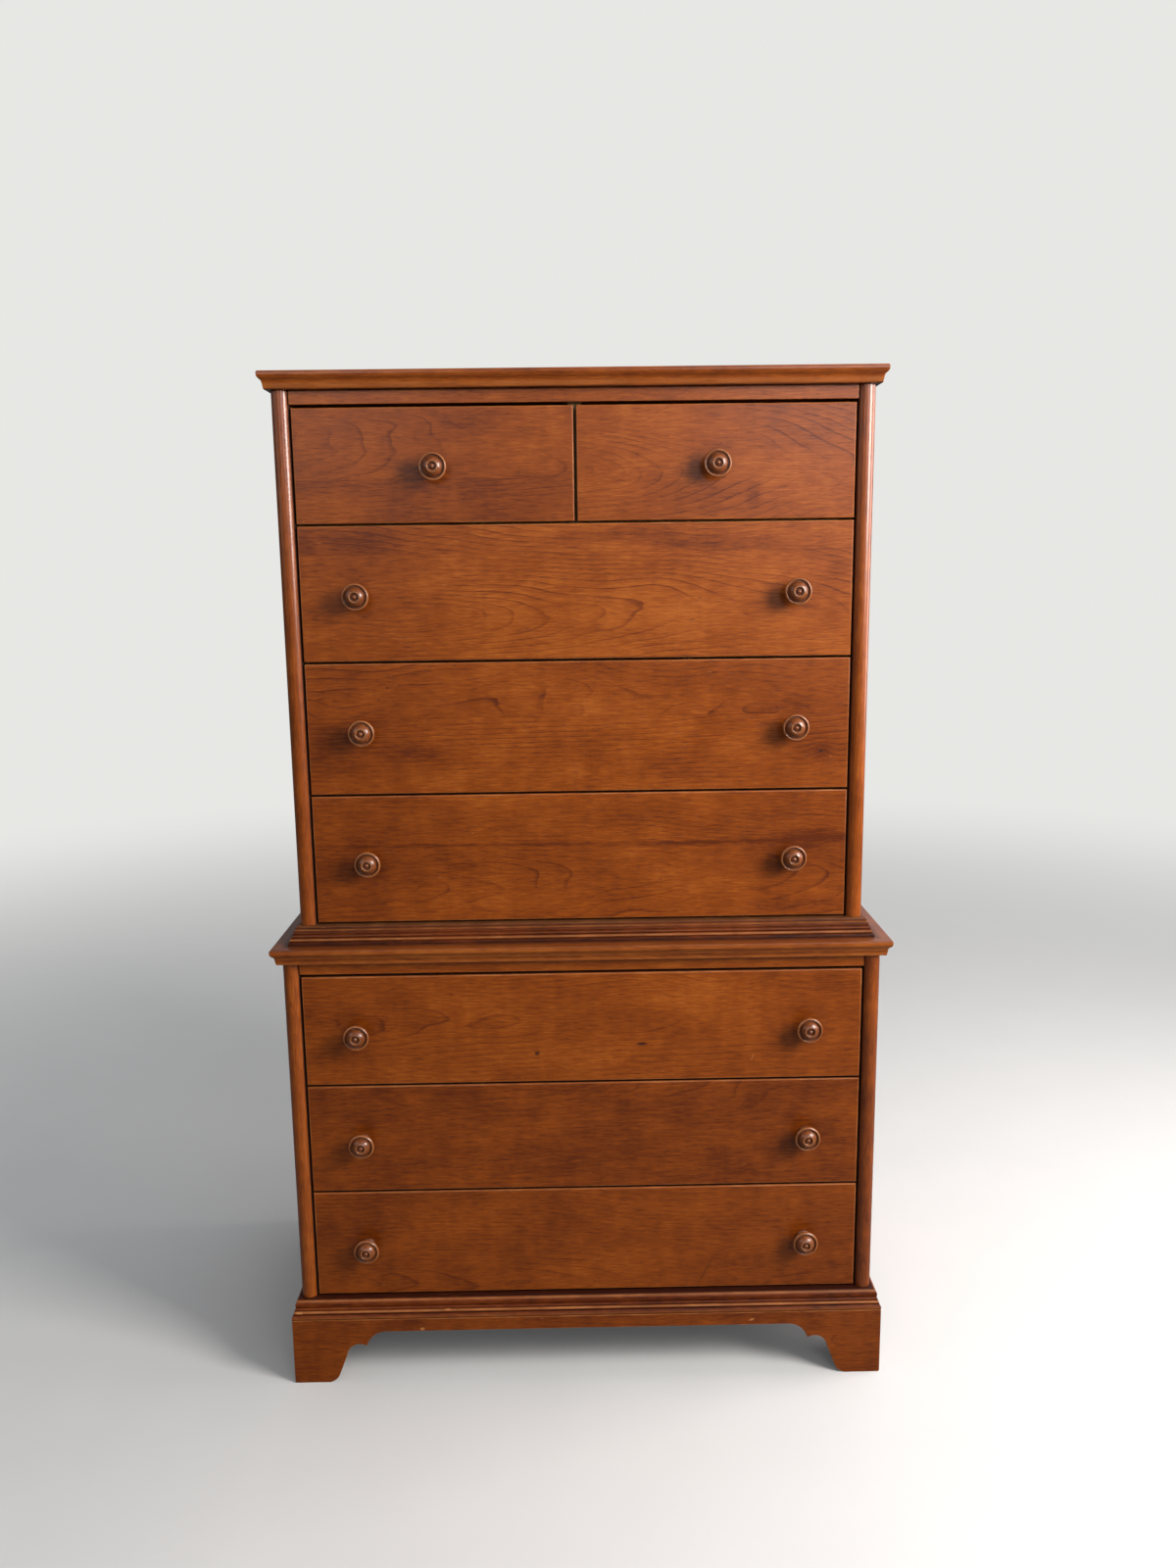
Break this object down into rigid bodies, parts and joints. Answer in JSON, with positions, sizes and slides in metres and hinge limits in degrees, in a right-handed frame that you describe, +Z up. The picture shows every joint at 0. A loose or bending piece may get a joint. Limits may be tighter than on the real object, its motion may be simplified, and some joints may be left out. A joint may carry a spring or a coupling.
{
  "type": "chest on chest",
  "caption": "Tall wooden chest on chest with flush dovetailed drawers, turned knobs, round-nosed corner posts, reeded mouldings and scrolled bracket feet.",
  "frame": {"origin": "on the floor, under the middle of the whole piece, knobs included", "axes": "+X to the right seen from the front, +Y to the back, +Z up; the drawers open along -Y"},
  "size_m": [0.9156, 0.4924, 1.5188],
  "materials": {
    "show_wood": "satin lacquer",
    "knob_wood": "satin lacquer",
    "drawer_wood": "bare, sealed",
    "frame_wood": "bare",
    "plywood": "bare plywood"
  },
  "bodies": {
    "case": {"base_moulding": "show_wood", "lower_back_panel": "plywood", "lower_drawer_rails": "frame_wood", "lower_drawer_runners": "frame_wood", "lower_left_post": "show_wood", "lower_left_side": "show_wood", "lower_right_post": "show_wood", "lower_right_side": "show_wood", "lower_top": "show_wood", "lower_top_rail": "show_wood", "plinth_back": "frame_wood", "plinth_corner_blocks": "frame_wood", "plinth_front": "show_wood", "plinth_left": "show_wood", "plinth_right": "show_wood", "upper_back_panel": "plywood", "upper_centre_divider": "frame_wood", "upper_drawer_rails": "frame_wood", "upper_drawer_runners": "frame_wood", "upper_left_post": "show_wood", "upper_left_side": "show_wood", "upper_right_post": "show_wood", "upper_right_side": "show_wood", "upper_top": "show_wood", "upper_top_rail": "show_wood", "waist_moulding": "show_wood"},
    "top_left_drawer": {"top_left_drawer_front": "show_wood", "top_left_drawer_box": "drawer_wood", "top_left_drawer_bottom": "plywood", "top_left_drawer_knobs": "knob_wood"},
    "top_right_drawer": {"top_right_drawer_front": "show_wood", "top_right_drawer_box": "drawer_wood", "top_right_drawer_bottom": "plywood", "top_right_drawer_knobs": "knob_wood"},
    "upper_drawer_1": {"upper_drawer_1_front": "show_wood", "upper_drawer_1_box": "drawer_wood", "upper_drawer_1_bottom": "plywood", "upper_drawer_1_knobs": "knob_wood"},
    "upper_drawer_2": {"upper_drawer_2_front": "show_wood", "upper_drawer_2_box": "drawer_wood", "upper_drawer_2_bottom": "plywood", "upper_drawer_2_knobs": "knob_wood"},
    "upper_drawer_3": {"upper_drawer_3_front": "show_wood", "upper_drawer_3_box": "drawer_wood", "upper_drawer_3_bottom": "plywood", "upper_drawer_3_knobs": "knob_wood"},
    "lower_drawer_1": {"lower_drawer_1_front": "show_wood", "lower_drawer_1_box": "drawer_wood", "lower_drawer_1_bottom": "plywood", "lower_drawer_1_knobs": "knob_wood"},
    "lower_drawer_2": {"lower_drawer_2_front": "show_wood", "lower_drawer_2_box": "drawer_wood", "lower_drawer_2_bottom": "plywood", "lower_drawer_2_knobs": "knob_wood"},
    "lower_drawer_3": {"lower_drawer_3_front": "show_wood", "lower_drawer_3_box": "drawer_wood", "lower_drawer_3_bottom": "plywood", "lower_drawer_3_knobs": "knob_wood"}
  },
  "joints": [
    {"name": "top_left_drawer_slide", "type": "slide", "parent": "case", "child": "top_left_drawer", "axis": [0, -1, 0], "range_m": [0, 0.32]},
    {"name": "top_right_drawer_slide", "type": "slide", "parent": "case", "child": "top_right_drawer", "axis": [0, -1, 0], "range_m": [0, 0.32]},
    {"name": "upper_drawer_1_slide", "type": "slide", "parent": "case", "child": "upper_drawer_1", "axis": [0, -1, 0], "range_m": [0, 0.32]},
    {"name": "upper_drawer_2_slide", "type": "slide", "parent": "case", "child": "upper_drawer_2", "axis": [0, -1, 0], "range_m": [0, 0.32]},
    {"name": "upper_drawer_3_slide", "type": "slide", "parent": "case", "child": "upper_drawer_3", "axis": [0, -1, 0], "range_m": [0, 0.32]},
    {"name": "lower_drawer_1_slide", "type": "slide", "parent": "case", "child": "lower_drawer_1", "axis": [0, -1, 0], "range_m": [0, 0.32]},
    {"name": "lower_drawer_2_slide", "type": "slide", "parent": "case", "child": "lower_drawer_2", "axis": [0, -1, 0], "range_m": [0, 0.32]},
    {"name": "lower_drawer_3_slide", "type": "slide", "parent": "case", "child": "lower_drawer_3", "axis": [0, -1, 0], "range_m": [0, 0.32]}
  ]
}
